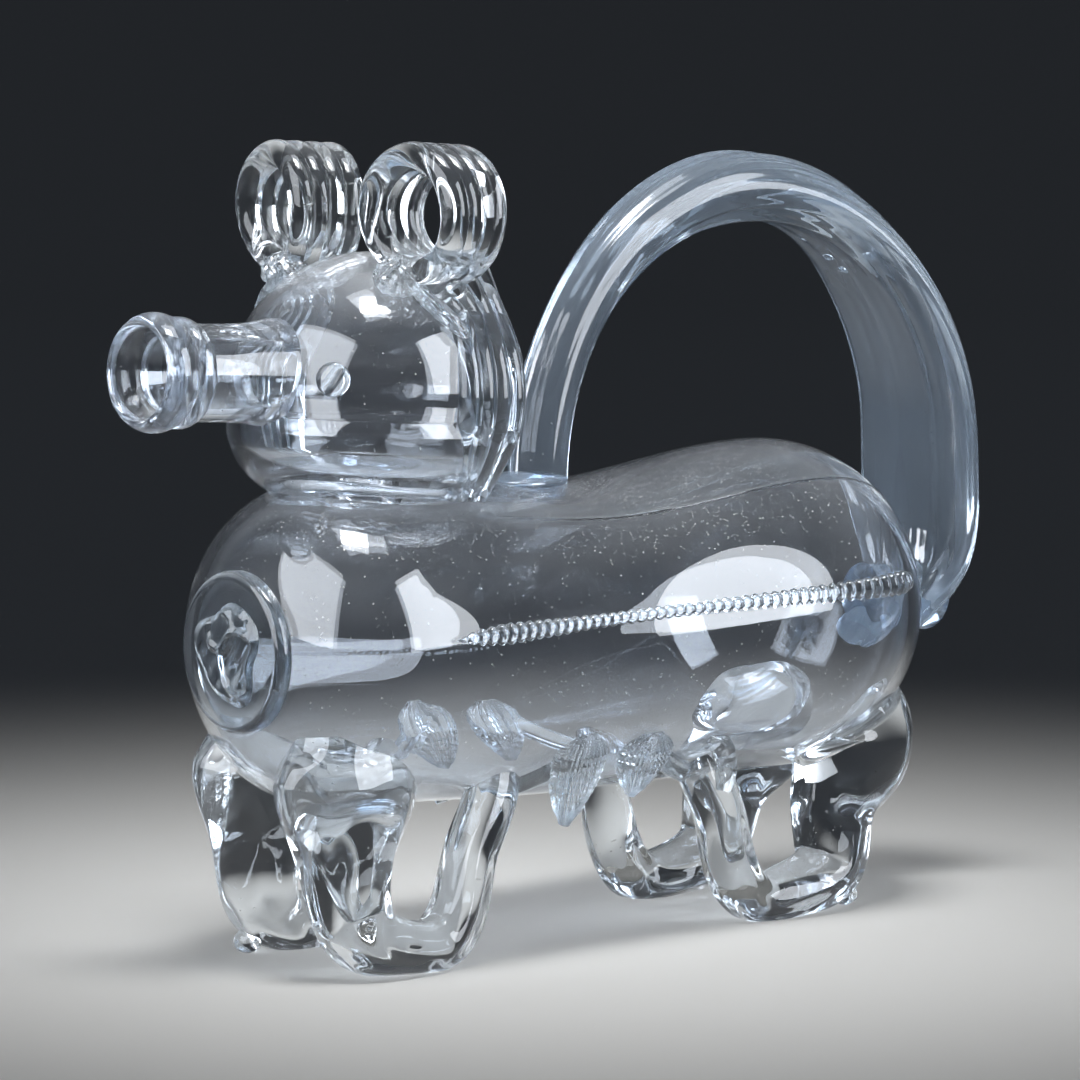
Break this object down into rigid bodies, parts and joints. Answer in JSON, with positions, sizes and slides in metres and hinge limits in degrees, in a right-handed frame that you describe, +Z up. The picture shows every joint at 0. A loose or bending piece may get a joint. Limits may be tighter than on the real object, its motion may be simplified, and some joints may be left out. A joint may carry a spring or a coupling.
{
  "type": "figural decanter",
  "caption": "Clear glass decanter shaped as a standing animal: hollow body and head, pouring snout, looped legs, curled ears and an arched tail handle.",
  "frame": {"origin": "centre of the footprint box, on the surface the feet stand on", "axes": "+Z up, the snout points along -X and the tail handle lies along +X, the animal's left side is at -Y"},
  "size_m": [0.2449, 0.0809, 0.1829],
  "materials": {
    "blown_glass": "clear blown glass, fire polished",
    "trailed_glass": "clear solid glass, tooled hot",
    "tail_glass": "solid glass with a faint blue-grey cast"
  },
  "bodies": {
    "root": {"body_barrel": "blown_glass", "head_bulb": "blown_glass", "throat": "blown_glass", "snout_neck": "blown_glass", "lip_bead": "blown_glass", "lip_collar": "blown_glass", "tail_handle": "tail_glass", "handle_pad": "tail_glass", "tail_root": "tail_glass", "pontil_disc": "trailed_glass", "pontil_scar": "trailed_glass", "flank_trail": "trailed_glass", "ear_left": "trailed_glass", "ear_drape_left": "trailed_glass", "eye_left": "trailed_glass", "leg_front_left": "trailed_glass", "leg_rear_left": "trailed_glass", "belly_tab_front_left": "trailed_glass", "belly_tab_rear_left": "trailed_glass", "ear_right": "trailed_glass", "ear_drape_right": "trailed_glass", "eye_right": "trailed_glass", "leg_front_right": "trailed_glass", "leg_rear_right": "trailed_glass", "belly_tab_front_right": "trailed_glass", "belly_tab_rear_right": "trailed_glass"}
  },
  "joints": []
}
